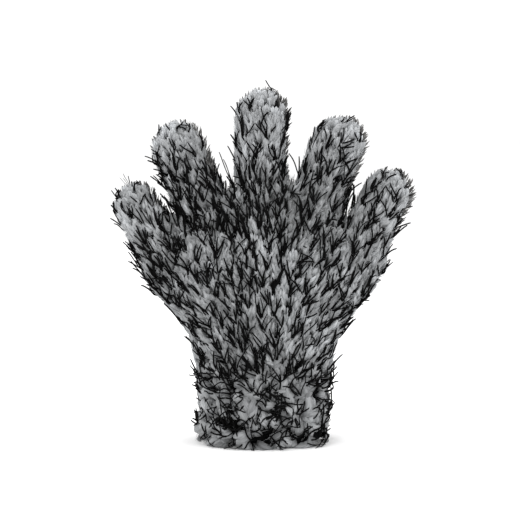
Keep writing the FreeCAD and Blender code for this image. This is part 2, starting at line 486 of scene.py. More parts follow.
class Roots:
    """Where fibres are rooted, and which way the pile lies there."""

    def __init__(self, points):
        self.points = points
        self.normals = unit(gradient(points))
        self.owner = owners(points)
        comb = combing(points, self.owner)
        level = (comb * self.normals).sum(1)[:, None] * self.normals
        self.forward = unit(comb - 0.6 * level)
        self.side = unit(np.cross(self.forward, self.normals))
        self.ruffle = ruffle(points)
        self.gloom = gloom(points)
        self.tip = tip_share(points, self.owner)
        self.turn = waves(points, 20 * MM, 1) * (0.25 + 1.3 * self.ruffle)

    def __len__(self):
        return len(self.points)

    def pick(self, chosen):
        """The chosen roots only. chosen may be a mask or numbers, and a number may repeat."""
        made = object.__new__(Roots)
        for key, values in vars(self).items():
            setattr(made, key, values[chosen])
        return made

    def moved(self, reach, lift=0.0):
        """The same roots, each moved a little over the cloth and lifted into the pile."""
        made = self.pick(np.arange(len(self)))
        shift = RANDOM.normal(0, 1, (2, len(self), 1)) * reach
        made.points = made.points + shift[0] * made.forward + shift[1] * made.side + lift * made.normals
        return made


# ------------------------------------------------
# Fibres: closed tubes along bent lines

def fibre_lines(roots, lengths, tilts, headings):
    """Fibres' centre lines, with the upward and sideways directions at each point. tilts holds each fibre's
    lean from the cloth's normal and headings its turn over the cloth, for each point."""
    up, forward, side = roots.normals[:, None], roots.forward[:, None], roots.side[:, None]
    away = forward * np.cos(headings)[..., None] + side * np.sin(headings)[..., None]
    cosine, sine = np.cos(tilts)[..., None], np.sin(tilts)[..., None]
    direction = up * cosine + away * sine
    upward = up * sine - away * cosine
    step = (lengths / (tilts.shape[1] - 1))[:, None, None]
    moves = (direction[:, 1:] + direction[:, :-1]) / 2 * step
    line = np.concatenate([roots.points[:, None], roots.points[:, None] + np.cumsum(moves, 1)], 1)
    return line, upward, np.cross(direction, upward)


SHORTEST = 0.35                # the most that one round of trimming shortens a fibre to


def trimmed(roots, lengths, tilts, headings, proud):
    """Lengths at which hardly a fibre stands more than proud metres outside the glove's outline."""
    for _ in range(3):
        line = fibre_lines(roots, lengths, tilts, headings)[0]
        reach = glove_field(line.reshape(-1, 3), 0).reshape(len(roots), -1).max(1)
        allowed = PILE_HEIGHT + proud
        lengths = lengths * np.clip(allowed / np.maximum(PILE_HEIGHT + reach, 1 * MM), SHORTEST, 1.0)
    return lengths


REST = 3.0 * MM                # below this height the pile is pressed up by the floor
TWIST = 1.2                    # how far a fibre's folds turn from its root to its tip


def tubes(line, upward, across, half_width, half_depth, sides, lobes=0.0):
    """Closed tubes: their vertices and faces, each vertex's share along and across its fibre and its grain,
    and the number of vertices in each tube. lobes folds their cross-section."""
    count, rows = line.shape[:2]
    angles = 2 * math.pi * np.arange(sides) / sides
    along = np.linspace(0, 1, rows)
    twist = RANDOM.uniform(0, 2 * math.pi, (count, 1, 1))
    twist = twist + RANDOM.normal(0, TWIST, (count, 1, 1)) * along[:, None]
    swell = 1 + lobes * np.cos(3 * angles + twist) + lobes * 0.6 * np.cos(5 * angles - twist * 1.7)
    wide = (half_width[..., None] * swell * np.cos(angles))[..., None]
    deep = (half_depth[..., None] * swell * np.sin(angles))[..., None]
    vertices = line[:, :, None] + wide * across[:, :, None] + deep * upward[:, :, None]
    heights = vertices[..., 2]
    vertices[..., 2] = np.where(heights < REST, REST * np.exp(np.minimum(heights / REST - 1, 0)), heights)
    quads = []
    for row in range(rows - 1):
        for number in range(sides):
            following = (number + 1) % sides
            quads.append([row * sides + number, row * sides + following,
                          (row + 1) * sides + following, (row + 1) * sides + number])
    caps = [list(range(sides))[::-1], [(rows - 1) * sides + number for number in range(sides)]]
    shift = (np.arange(count) * rows * sides)[:, None, None]
    faces = [(np.array(kind)[None] + shift).reshape(-1, len(kind[0])) for kind in (quads, caps)]
    grain = np.empty((count, rows, sides, 3))
    grain[..., 0] = np.cos(angles)
    grain[..., 1] = np.abs(np.sin(angles))
    grain[..., 2] = along[:, None] * 0.6 + RANDOM.uniform(0, 90, (count, 1, 1))
    return {
        "vertices": vertices.reshape(-1, 3),
        "faces": faces,
        "along": np.tile(np.repeat(along, sides), count),
        "across": np.tile(1 - np.abs(1 - angles / math.pi), count * rows),
        "grain": grain.reshape(-1, 3),
        "each": rows * sides,
    }


def profile(stops, rows):
    """Widths along a fibre, at rows points from root to tip."""
    places, values = zip(*stops)
    return np.interp(np.linspace(0, 1, rows), places, values)


# Widths from root to tip, as places and shares of the full width
POINTED = [(0, 0.4), (0.2, 0.75), (0.5, 1.0), (0.75, 0.9), (0.9, 0.6), (1, 0.2)]
BLUNT = [(0, 0.4), (0.2, 0.8), (0.45, 1.0), (0.8, 1.0), (0.93, 0.85), (1, 0.45)]
STRAND_WIDTHS = [(0, 1.0), (0.9, 0.92), (1, 0.7)]
WISP_WIDTHS = [(0, 1.0), (0.7, 0.9), (1, 0.4)]


class Lie:
    """How a set of fibres lies: lengths, tilts and headings."""

    def __init__(self, roots, rows, length, start, end, heading, swing, knee=1.0):
        share = np.linspace(0, 1, rows)[None]
        count = len(roots)
        self.lengths = length * RANDOM.uniform(0.72, 1.25, count)
        first = np.radians(RANDOM.normal(start, 8, count))[:, None]
        last = np.radians(RANDOM.normal(end, 7 + 12 * roots.ruffle))[:, None]
        self.tilts = first + (last - first) * np.minimum(share / knee, 1.0)
        turn = (roots.turn + RANDOM.normal(0, heading, count))[:, None]
        self.headings = turn + (RANDOM.normal(0, 1, count) * swing)[:, None] * share


def locks(roots, rows, sides, length, width, end, heading, swing):
    """Soft flattened locks with folded sides and tapered tips."""
    lie = Lie(roots, rows, length, 36 - 12 * roots.ruffle, end, heading, swing, 0.85)
    lengths = trimmed(roots, lie.lengths, lie.tilts, lie.headings, roots.proud)
    line, upward, across = fibre_lines(roots, lengths, lie.tilts, lie.headings)
    half = width / 2 * RANDOM.uniform(0.65, 1.3, len(roots))
    uneven = RANDOM.uniform(0.82, 1.18, (len(roots), rows))
    blunt = roots.ruffle[:, None]
    shape = profile(POINTED, rows) * (1 - blunt) + profile(BLUNT, rows) * blunt
    half_width = half[:, None] * shape * uneven
    roll = RANDOM.normal(0, 0.4, len(roots))[:, None, None]
    rolled = across * np.cos(roll) + upward * np.sin(roll)
    lifted = upward * np.cos(roll) - across * np.sin(roll)
    flatness = RANDOM.uniform(0.45, 0.7, len(roots))[:, None]
    return tubes(line, lifted, rolled, half_width, half_width * flatness, sides, 0.12)


def wisps(roots, length, radius):
    """Single pale fibres that stray out of the locks."""
    rows = 5
    lie = Lie(roots, rows, length, 34, 76 + 20 * roots.ruffle, 0.3 + 0.15 * roots.ruffle, 0.6)
    proud = roots.proud + RANDOM.uniform(0.6, 1.8, len(roots)) * MM
    lengths = trimmed(roots, lie.lengths, lie.tilts, lie.headings, proud)
    line, upward, across = fibre_lines(roots, lengths, lie.tilts, lie.headings)
    half = radius * RANDOM.uniform(0.7, 1.3, len(roots))[:, None] * profile(WISP_WIDTHS, rows)
    return tubes(line, upward, across, half, half, 3)


def pressed(line, height, share):
    """Fibres laid over the pile at a height above the glove's outline, past the first part of each."""
    flat = line.reshape(-1, 3)
    slope = gradient(flat, 0.0)
    off = height[:, None] - glove_field(flat, 0.0).reshape(line.shape[:2])
    hold = np.clip(share / 0.35, 0, 1) * (1 - 0.45 * np.clip((share - 0.6) / 0.4, 0, 1))
    move = slope.reshape(line.shape) * (off * hold)[..., None]
    return line + move


def strands(roots, length, radius, end, heading):
    """Round black strands with cut ends, each with a gentle wave and some with a kink. Most lie over the
    pile, and the loose ones stand out of it."""
    rows = 9
    lie = Lie(roots, rows, length, 24, end, heading, 0.35 + 0.8 * roots.ruffle, 0.4)
    count = len(roots)
    share = np.linspace(0, 1, rows)[None]
    bent_from = RANDOM.uniform(0.35, 0.8, count)[:, None]
    past = np.clip((share - bent_from) / 0.15, 0, 1)
    kink = RANDOM.normal(0, 0.6, count)
    kink = kink * (RANDOM.random(count) < 0.15 + 0.35 * roots.ruffle + 0.15 * roots.tip)
    headings = lie.headings + past * kink[:, None]
    wave = share * RANDOM.uniform(3, 7, count)[:, None]
    wave = np.sin(wave + RANDOM.uniform(0, 6.3, count)[:, None])
    headings = headings + (0.16 + 0.3 * roots.ruffle)[:, None] * wave
    edge = 1 - np.abs(roots.normals[:, 1])
    loose = RANDOM.random(count) < 0.2 + 0.5 * edge
    tilts = lie.tilts - (past * np.abs(kink)[:, None] * 0.5 + 0.35 * share) * loose[:, None]
    laid = 1.2 + 0.8 * edge + 1.5 * roots.ruffle
    proud = np.where(loose, RANDOM.uniform(1.0, 5.0 + 2.0 * edge, count), laid) * MM
    lengths = trimmed(roots, lie.lengths * np.where(loose, 1.35, 1.0), tilts, headings, proud)
    line, upward, across = fibre_lines(roots, lengths, tilts, headings)
    height = (RANDOM.uniform(-0.9, 0.7, count) + 1.6 * roots.ruffle) * MM
    line = np.where(loose[:, None, None], line, pressed(line, height, share))
    half = radius * RANDOM.uniform(0.85, 1.2, count)[:, None] * profile(STRAND_WIDTHS, rows)
    return tubes(line, upward, across, half, half, 5)


# ------------------------------------------------
# Materials

def principled(name, **settings):
    """A new material, its node tree and its Principled shader. settings are the shader's inputs by name."""
    material = bpy.data.materials.new(name)
    material.use_nodes = True
    shader = material.node_tree.nodes["Principled BSDF"]
    for key, value in settings.items():
        shader.inputs[key.replace("_", " ")].default_value = value
    return material, material.node_tree, shader


def attribute_node(tree, name, output="Fac"):
    """A node that reads a mesh attribute, as a number or as a Vector."""
    node = tree.nodes.new("ShaderNodeAttribute")
    node.attribute_name = name
    return node.outputs[output]


def texture_node(tree, kind, place, **settings):
    """A texture over a socket's places. settings are its inputs by name."""
    node = tree.nodes.new("ShaderNodeTex" + kind)
    for key, value in settings.items():
        node.inputs[key].default_value = value
    tree.links.new(place, node.inputs["Vector"])
    return node


def ramp_node(tree, source, stops):
    """A colour ramp over a value. A stop is a place with a colour, or with one number for a grey."""
    node = tree.nodes.new("ShaderNodeValToRGB")
    elements = node.color_ramp.elements
    while len(elements) < len(stops):
        elements.new(0.5)
    for element, (place, colour) in zip(elements, stops):
        element.position = place
        element.color = (*np.broadcast_to(colour, 3), 1)
    tree.links.new(source, node.inputs["Fac"])
    return node.outputs["Color"]


def product_node(tree, a, b):
    """Two colours multiplied."""
    node = tree.nodes.new("ShaderNodeMix")
    node.data_type = "RGBA"
    node.blend_type = "MULTIPLY"
    node.inputs[0].default_value = 1.0
    tree.links.new(a, node.inputs[6])
    tree.links.new(b, node.inputs[7])
    return node.outputs[2]


def add_bump(tree, shader, height, strength, distance, invert=False):
    """Relief on a shader, from a height."""
    node = tree.nodes.new("ShaderNodeBump")
    node.inputs["Strength"].default_value = strength
    node.inputs["Distance"].default_value = distance
    node.invert = invert
    tree.links.new(height, node.inputs["Height"])
    tree.links.new(node.outputs["Normal"], shader.inputs["Normal"])


def fibre_material(name, tones, root, streaks, **settings):
    """Fibres: a tone for each, darkened towards the root as painted shade down in the pile, with fine streaks
    along them. tones holds stops with a grey and how much bluer than neutral it is, root holds the stops of
    the painted shade from root to tip, and streaks is how dark the streaks are."""
    material, tree, shader = principled(name, Sheen_Roughness=0.5, **settings)
    stops = [(place, (grey, grey * (1 + tint) / 2, grey * tint)) for place, grey, tint in tones]
    tone = ramp_node(tree, attribute_node(tree, "tone"), stops)
    # Painted shade: each fibre's colour darkens towards its root, for the shade down in the pile.
    depth = ramp_node(tree, attribute_node(tree, "along"), root)
    grain = attribute_node(tree, "grain", "Vector")
    noise = texture_node(tree, "Noise", grain, Scale=4.0, Detail=3.0).outputs["Fac"]
    streak = ramp_node(tree, noise, [(0.32, streaks), (0.62, 1.0)])
    add_bump(tree, shader, noise, 0.5, 0.25 * MM)
    colour = product_node(tree, product_node(tree, tone, depth), streak)
    tree.links.new(colour, shader.inputs["Base Color"])
    return material


def cloth_material(name, dark, pale, loops, bump):
    """Knitted cloth: small loops with a bump, loops of them to a metre."""
    material, tree, shader = principled(name, Roughness=0.9, Specular_IOR_Level=0.1)
    place = tree.nodes.new("ShaderNodeTexCoord").outputs["Object"]
    distance = texture_node(tree, "Voronoi", place, Scale=loops).outputs["Distance"]
    tree.links.new(ramp_node(tree, distance, [(0.0, pale), (0.55, dark)]), shader.inputs["Base Color"])
    add_bump(tree, shader, distance, bump, 0.3 * MM, True)
    return material


def woven_material(name, dark, pale, roughness, threads, direction, **settings):
    """Woven tape, rubber band, satin or plied thread. Its threads run over the weave attribute, which is in
    millimetres: threads for each of them."""
    material, tree, shader = principled(name, **settings)
    place = attribute_node(tree, "weave", "Vector")
    turns = threads * 2 * math.pi / 20    # the wave texture has 20 / (2 pi) bands to a unit at scale 1
    wave = texture_node(tree, "Wave", place, Scale=turns, Distortion=0.6, Detail=1.0)
    wave.bands_direction = direction
    noise = texture_node(tree, "Noise", place, Scale=1.7, Detail=3.0).outputs["Fac"]
    thread = ramp_node(tree, wave.outputs["Fac"], [(0.1, dark), (0.7, pale)])
    wear = ramp_node(tree, noise, [(0.3, 0.72), (0.65, 1.0)])
    tree.links.new(product_node(tree, thread, wear), shader.inputs["Base Color"])
    rough = ramp_node(tree, noise, [(0.3, roughness * 0.85), (0.7, roughness)])
    tree.links.new(rough, shader.inputs["Roughness"])
    add_bump(tree, shader, wave.outputs["Fac"], 0.6, 0.15 * MM)
    return material


# The second list of each fibre material is its painted shade towards the roots.
PALE = fibre_material(
    "pale_pile",
    [(0.0, 0.08, 1.03), (0.5, 0.33, 1.05), (1.0, 0.66, 1.07)],
    [(0.0, 0.08), (0.2, 0.35), (0.4, 0.85), (0.65, 1.0)],
    streaks=0.62, Roughness=0.9, Sheen_Weight=0.25, Specular_IOR_Level=0.08,
)
BLACK = fibre_material(
    "black_strands",
    [(0.0, 0.0015, 1.0), (1.0, 0.006, 1.0)],
    [(0.0, 0.7), (1.0, 1.0)],
    streaks=0.6, Roughness=0.7, Specular_IOR_Level=0.03,
)
BACK = fibre_material(
    "back_pile",
    [(0.0, 0.035, 0.93), (0.5, 0.12, 0.94), (1.0, 0.26, 0.95)],
    [(0.0, 0.1), (0.4, 0.6), (0.8, 1.0)],
    streaks=0.6, Roughness=0.9, Sheen_Weight=0.2, Specular_IOR_Level=0.08,
)
# The backing's near-black is painted shade: it stands for the shade in the gaps between the tufts.
BACKING = cloth_material("backing_knit", 0.002, 0.009, 900, 0.4)
LINING = cloth_material("lining_knit", (0.30, 0.30, 0.31), (0.62, 0.62, 0.63), 700, 0.5)
TAPE = woven_material("hem_twill", (0.006, 0.006, 0.007), (0.03, 0.03, 0.032), 0.75, 1.6, "DIAGONAL")
RUBBER = woven_material("ribbed_elastic", (0.35, 0.34, 0.33), (0.66, 0.65, 0.63), 0.6, 1.3, "X")
THREAD = woven_material("plied_thread", (0.10, 0.10, 0.105), (0.34, 0.34, 0.35), 0.55, 1.8, "DIAGONAL")
SATIN = woven_material(
    "label_satin", (0.70, 0.70, 0.69), (0.86, 0.86, 0.85), 0.38, 4.0, "X", Sheen_Weight=0.2
)
SEAM = woven_material("seam_cord", 0.004, (0.02, 0.02, 0.021), 0.85, 1.2, "DIAGONAL")

# ------------------------------------------------
# Pieces: each one's transform baked into its mesh

def bend_at_wrist(piece):
    """Bakes the piece's transform into its mesh."""
    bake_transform(piece)


def bend_at_knuckle(piece):
    """Bakes the piece's transform into its mesh."""
    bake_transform(piece)


PALM_SPLIT = (WRIST[2] + KNUCKLE_LEVEL) / 2 + 12 * MM    # the palm's pieces are cut here, to keep them small


def zones(points, owner):
    """Names, masks and bends of the glove's parts."""
    body, height = owner == -1, points[:, 2]
    yield "cuff", body & (height < WRIST[2]), bend_at_wrist
    yield "palm_low", body & (height >= WRIST[2]) & (height < PALM_SPLIT), bend_at_wrist
    yield "palm_high", body & (height >= PALM_SPLIT), bend_at_wrist
    for number, finger in enumerate(FINGERS):
        yield finger.name, owner == number, lambda piece, finger=finger: bend_at_knuckle(piece)


def placed(piece, zone, bend, layer=None):
    """Bakes a piece's transform. It stands for the zone's CAD node of a layer, if there is one, and hides
    that node: the palm has one node for both of its zones."""
    bend(piece)
    if layer and zone != "palm_high":
        if layer == "seam" and zone not in FINGER_NAMES:
            layer = "side_seams"
        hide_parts({"palm_low": "palm"}.get(zone, zone) + "_" + layer)


# ------------------------------------------------
# Build

NET_STEP = 2.6 * MM
BACKING_THICKNESS = 0.8 * MM
LINING_THICKNESS = 0.9 * MM
HEM_LOW, HEM_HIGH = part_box("cuff_hem")


def cloth_layer(suffix, inset, thickness, lowest, material, layer=None):
    """A layer of cloth inside the whole glove, one closed piece for each part. Returns its outer face."""
    vertices, quads = surface_net(NET_STEP, inset)
    quads = quads[(vertices[quads][:, :, 2] > lowest).all(1)]
    centres = vertices[quads].mean(1)
    for zone, mask, bend in zones(centres, owners(centres)):
        face, face_quads = part_of_net(vertices, quads, mask)
        solid, solid_faces = shell(face, face_quads, inset, thickness)
        placed(new_object(zone + suffix, solid, [solid_faces], material), zone, bend, layer)
    return vertices, quads


net_vertices, net_quads = cloth_layer("_backing", PILE_HEIGHT, BACKING_THICKNESS, 1.5 * MM, BACKING)
cloth_layer(
    "_inner_cloth", PILE_HEIGHT + CLOTH, LINING_THICKNESS, HEM_HIGH.z - 1 * MM, LINING, "lining"
)

LOWEST_ROOT = 2.5 * MM
LOCK_SPACING = 4.2 * MM        # between clumps
LOCKS_PER_CLUMP = 5
LOCKS_PER_CUFF_CLUMP = 3
CLUMP_REACH = 1.3 * MM         # how far a clump's locks are rooted from each other
LOCK_LENGTH = 13.0             # lengths and widths of fibres are in millimetres
LOCK_WIDTH = 3.0
WISPS_PER_LOCK = 2
WISP_RADIUS = 0.15
HANGING_BELOW = 5.5 * MM       # the lowest pile hangs down to the floor
STRAND_SPACING = 7.2 * MM      # between tufts
STRANDS_PER_TUFT = (3, 7)
STRAND_LENGTH = 15
STRAND_RADIUS = 0.56
STRANDS_LOST_AT_SIDES = 0.75   # share of tufts that the glove's sides are left without
FINGER_TONES = (-0.04, -0.30, 0.08, -0.05, -0.02)    # how much paler each fingertip is than the rest
BACK_SPACING = 2.3 * MM
BACK_LENGTH = 8.5
BACK_WIDTH = 1.8
PILE_PATCHES = 14 * MM         # size of the paler and darker patches
PROUD_PATCHES = 9 * MM         # size of the patches where the pile stands prouder


def rooted(spacing, least, front):
    """Roots on one side of the glove, above the hem's edge."""
    made = Roots(scattered(net_vertices, net_quads, spacing, least))
    chosen = front_of(made.points, made.normals, made.owner) == front
    return made.pick(chosen & (made.points[:, 2] > LOWEST_ROOT))


def lock_spacing(points):
    """Closer at the fingertips, and wider on the cuff."""
    return LOCK_SPACING * (1 + 0.12 * ruffle(points) - 0.25 * tip_share(points, owners(points)))


def strand_spacing(points):
    """Closer where the pile is dark, and wider on the middle finger and to the right."""
    middle_finger = bell(points[:, 0], FINGERS[2].root[0], 22 * MM)
    tip = tip_share(points, owners(points))
    right = np.clip(points[:, 0] / (40 * MM), 0, 1)
    sparse = 0.1 * tip + 0.09 * right + 0.4 * middle_finger * np.minimum(tip * 3, 1)
    return STRAND_SPACING * (1 - 0.2 * gloom(points) + sparse)


def back_spacing(points):
    """Closest where the back panel wraps round to the front."""
    return BACK_SPACING * np.where(points[:, 1] < 2 * MM, 0.8, 1.0)


def pale_tone(roots):
    """Tone of pale fibres: lightest at the fingertips, darkest over the knuckles, with a painted highlight
    where the pile faces sideways and on the fingers' outer sides."""
    tip = roots.tip ** 0.7
    tone = 0.49 + 0.09 * tip - 0.22 * roots.gloom + 0.10 * waves(roots.points, PILE_PATCHES, 2)
    tone = tone + tip * np.interp(roots.points[:, 0], KNUCKLE_X, FINGER_TONES)
    # Painted highlight: paler where the pile faces sideways, at the glove's edges.
    tone = tone + 0.08 * (1 - np.abs(roots.normals[:, 1])) * (1 - roots.gloom)
    # Painted highlight: fingertips paler on the side facing away from the hand's middle.
    outer = roots.normals[:, 0] * np.clip((roots.points[:, 0] + 10 * MM) / (30 * MM), -1, 1)
    tone = tone + 0.14 * tip * outer - 0.09 * roots.ruffle
    return tone + RANDOM.normal(0, 0.08, len(roots))


def repeated(roots, times, reach, lift=0.0):
    """Each root several times over, close together."""
    return roots.pick(np.repeat(np.arange(len(roots)), times)).moved(reach, lift)


STRIPS_IN_COLUMN = 400


def strip_map(made, tones):
    """A place on the bake map for each vertex: a strip for each fibre, in order of tone, so that a small
    image still holds every fibre's tone."""
    count, each = len(tones), made["each"]
    rank = np.empty(count, int)
    rank[np.argsort(tones, kind="stable")] = np.arange(count)
    columns = math.ceil(count / STRIPS_IN_COLUMN)
    strips = math.ceil(count / columns)
    u = (np.repeat(rank // strips, each) + 0.03 + 0.94 * made["along"]) / columns
    v = (np.repeat(rank % strips, each) + made["across"]) / strips
    return np.stack([u, v], 1)


def fur_piece(zone, suffix, bend, made, tones, material, layer=None):
    """One piece of pile."""
    attributes = {
        "tone": np.repeat(np.clip(tones, 0, 1), made["each"]),
        "along": made["along"],
        "grain": made["grain"],
    }
    strips = strip_map(made, tones)
    piece = new_object(zone + suffix, made["vertices"], made["faces"], material, attributes, strips)
    placed(piece, zone, bend, layer)


lock_roots = rooted(lock_spacing, LOCK_SPACING * 0.8, True)
lock_roots.tone = pale_tone(lock_roots)
lock_roots.turn = lock_roots.turn + RANDOM.normal(0, 1, len(lock_roots)) * (0.2 + 0.9 * lock_roots.ruffle)
hanging = lock_roots.points[:, 2] < HANGING_BELOW
lock_roots.turn[hanging] = math.pi + RANDOM.normal(0, 1.0, hanging.sum())
# Painted shade: pale pile within about 12 mm of the floor is darkened, for the contact shade there.
floor_shade = np.clip(1.5 - lock_roots.points[:, 2] / (8 * MM), 0, 1)
lock_roots.tone = lock_roots.tone - 0.14 * floor_shade
unevenness = waves(lock_roots.points, PROUD_PATCHES, 3) * (0.7 + 2.6 * lock_roots.ruffle)
lock_roots.proud = (unevenness - 1.5 + 0.6 * lock_roots.ruffle) * MM
strand_roots = rooted(strand_spacing, STRAND_SPACING * 0.75, True)
lost = np.clip((0.45 - np.abs(strand_roots.normals[:, 1])) / 0.45, 0, 1) * (1 - strand_roots.gloom)
strand_roots = strand_roots.pick(RANDOM.random(len(strand_roots)) > STRANDS_LOST_AT_SIDES * lost)
disorder = 0.15 + 0.7 * strand_roots.ruffle
strand_roots.turn = strand_roots.turn + RANDOM.normal(0, 1, len(strand_roots)) * disorder
back_roots = rooted(back_spacing, BACK_SPACING * 0.8, False)
wrapped = back_roots.points[:, 1] < 0
back_roots.proud = (waves(back_roots.points, PROUD_PATCHES, 3) * 0.5 + 0.8 * wrapped) * MM

for zone, mask, bend in zones(lock_roots.points, lock_roots.owner):
    cuff = zone == "cuff"
    roots = repeated(lock_roots.pick(mask), LOCKS_PER_CUFF_CLUMP if cuff else LOCKS_PER_CLUMP, CLUMP_REACH)
    length = (LOCK_LENGTH + 4.5 * roots.ruffle) * MM
    width = (LOCK_WIDTH + 0.6 * roots.tip + 2.6 * roots.ruffle) * MM
    end, swing = 84 + 38 * roots.ruffle, 0.25 + 0.6 * roots.ruffle
    made = locks(roots, 9 if cuff else 7, 7 if cuff else 5, length, width, end, 0.12, swing)
    tones = roots.tone + RANDOM.normal(0, 0.05, len(roots))
    fur_piece(zone, "_front_locks", bend, made, tones, PALE, "front_pile")
    roots = repeated(roots, WISPS_PER_LOCK, 0.9 * MM)
    made = wisps(roots, np.repeat(length, WISPS_PER_LOCK), WISP_RADIUS * MM)
    # Painted highlight: wisps are up to 0.3 paler than their lock, lighting the locks' edges.
    tones = roots.tone + RANDOM.uniform(0.0, 0.3, len(roots))
    fur_piece(zone, "_wisps", bend, made, tones, PALE)

for zone, mask, bend in zones(strand_roots.points, strand_roots.owner):
    roots = strand_roots.pick(mask)
    times = RANDOM.integers(*STRANDS_PER_TUFT, len(roots)) - np.round(roots.tip).astype(int)
    roots = repeated(roots, times, 0.8 * MM, 2.0 * MM)
    roots = roots.moved((1.4 * roots.tip + 2.6 * roots.ruffle)[:, None] * MM)
    spread = 0.22 + 0.5 * roots.ruffle + 0.2 * roots.tip
    length = (STRAND_LENGTH + 4 * roots.ruffle) * MM
    made = strands(roots, length, STRAND_RADIUS * MM, 84 + 8 * roots.ruffle, spread)
    fur_piece(zone, "_black_strands", bend, made, RANDOM.random(len(roots)), BLACK)

for zone, mask, bend in zones(back_roots.points, back_roots.owner):
    roots = back_roots.pick(mask)
    made = locks(roots, 6, 5, BACK_LENGTH * MM, BACK_WIDTH * MM, 64, 0.4, 0.5)
    tones = 0.46 + 0.2 * waves(roots.points, 12 * MM, 2) + RANDOM.normal(0, 0.16, len(roots))
    fur_piece(zone, "_back_locks", bend, made, tones, BACK, "back_pile")

# ------------------------------------------------
# The cuff's hem, elastic, stitching and label

HEM_DEPTH = 2.6 * MM
GATHERS = 34                   # folds that the elastic gathers the hem into
GATHER_DEPTH = 0.3 * MM


def cuff_outline(distance):
    """Points and outward directions at distances round the hem's outer face, from the middle of its back."""
    half_width, half_depth = HEM_HIGH.x, HEM_HIGH.y
    flat = half_width - half_depth
    run = 2 * flat + math.pi * half_depth
    distance = (distance + flat + run) % (2 * run)
    part = distance % run
    half = np.where(distance < run, 1.0, -1.0)
    angle = np.clip((part - 2 * flat) / half_depth, 0, math.pi) - math.pi / 2
    outward = np.stack([np.cos(angle), np.sin(angle)], 1) * half[:, None]
    points = outward * half_depth
    points[:, 0] += half * (np.minimum(part, 2 * flat) - flat)
    return points, outward


HEM_LENGTH = 4 * (HEM_HIGH.x - HEM_HIGH.y) + 2 * math.pi * HEM_HIGH.y


def gathered(distance):
    """How far the gathers move the hem in, at distances round it."""
    turn = 2 * math.pi * GATHERS * distance / HEM_LENGTH
    return GATHER_DEPTH * (np.sin(turn) + 0.4 * np.sin(2.3 * turn + 1.0) * np.sin(turn / GATHERS * 5))


def cuff_piece(name, vertices, faces, material, weave):
    """One piece that belongs to the cuff alone and stands for the CAD node of that name."""
    piece = new_object(name + "_piece", vertices, faces, material, {"weave": weave})
    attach(piece, "cuff")
    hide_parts(name)


def cuff_ring(name, count, profile, material):
    """A ring round the cuff inside its pile."""
    distance = np.arange(count) * HEM_LENGTH / count
    points, outward = cuff_outline(distance)
    profile = np.array(profile)
    vertices, quads = ring(points, outward, profile, gathered(distance))
    steps = np.linalg.norm(np.diff(profile, axis=0), axis=1)
    path = np.concatenate([[0], np.cumsum(steps)])
    weave = np.zeros((count, len(profile), 3))
    weave[..., 0] = path[None] / MM
    weave[..., 1] = distance[:, None] / MM
    cuff_piece(name, vertices, [quads], material, weave.reshape(-1, 3))


RING_STEPS = 420               # places round the hem and the elastic

# The folded tape, as shares of the hem's depth and height: from the outer leaf's edge down to the fold, and
# from the channel's floor up to the edge again. The leaves are pinched where they are stitched, and the
# inner leaf is the outer one's mirror image.
HEM_OUTSIDE = [
    (0.00, 0.97), (0.07, 0.84), (0.02, 0.70), (0.00, 0.50), (0.02, 0.30), (0.07, 0.11), (0.16, 0.035),
    (0.34, 0.005),
]
HEM_CHANNEL = [
    (0.42, 0.16), (0.29, 0.22), (0.29, 0.50), (0.29, 0.75), (0.36, 0.84), (0.26, 0.97), (0.20, 1.00),
    (0.05, 1.00),
]


def mirrored(profile):
    """The same points on the inner leaf, in the opposite order."""
    return [(round(1 - depth, 3), height) for depth, height in reversed(profile)]


HEM_PROFILE = HEM_OUTSIDE + [(0.50, 0.00)] + mirrored(HEM_OUTSIDE) + mirrored(HEM_CHANNEL) + HEM_CHANNEL
hem_height = HEM_HIGH.z - HEM_LOW.z
hem_profile = [(depth * HEM_DEPTH, HEM_LOW.z + height * hem_height) for depth, height in HEM_PROFILE]
cuff_ring("cuff_hem", RING_STEPS, hem_profile, TAPE)

ELASTIC_LOW, ELASTIC_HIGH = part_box("cuff_elastic")
ELASTIC_RIBS = 7
ROWS_PER_RIB = 6
RIB_DEPTH = 0.09 * MM
elastic_middle = HEM_DEPTH / 2
elastic_half = elastic_middle - (HEM_HIGH.x - ELASTIC_HIGH.x)
rib_rows = np.linspace(0, 1, ELASTIC_RIBS * ROWS_PER_RIB + 1)
ribs = elastic_half - RIB_DEPTH * (1 + np.cos(2 * math.pi * ELASTIC_RIBS * rib_rows))
rib_heights = ELASTIC_LOW.z + (ELASTIC_HIGH.z - ELASTIC_LOW.z) * rib_rows
outer_ribs = [(elastic_middle - rib, height) for rib, height in zip(ribs[::-1], rib_heights[::-1])]
inner_ribs = [(elastic_middle + rib, height) for rib, height in zip(ribs, rib_heights)]
cuff_ring("cuff_elastic", RING_STEPS, outer_ribs + inner_ribs, RUBBER)

STITCHES = 60                  # in each row
STITCH_LENGTH = 3.2 * MM
THREAD_RADIUS = 0.26 * MM
STITCH_ROWS = [0.11, 0.84]     # where the hem's leaves are pinched, as shares of its height
stitch_share = np.linspace(-0.5, 0.5, 9)
stitch_middles = (np.arange(STITCHES) + 0.5) * HEM_LENGTH / STITCHES
stitch_row = stitch_middles[:, None] + stitch_share * STITCH_LENGTH
stitch_distance = np.concatenate([stitch_row] * len(STITCH_ROWS))
stitch_height = np.repeat(STITCH_ROWS, STITCHES) * hem_height + HEM_LOW.z
points, outward = cuff_outline(stitch_distance.ravel() % HEM_LENGTH)
outward = outward.reshape(*stitch_distance.shape, 2)
arch = THREAD_RADIUS * (0.7 - 2.6 * (2 * np.abs(stitch_share)) ** 4)
depth = 0.93 * HEM_DEPTH + arch + gathered(stitch_distance)
stitch_line = np.empty((*stitch_distance.shape, 3))
stitch_line[..., :2] = points.reshape(outward.shape) - outward * depth[..., None]
stitch_line[..., 2] = stitch_height[:, None] + 0.5 * MM * stitch_share
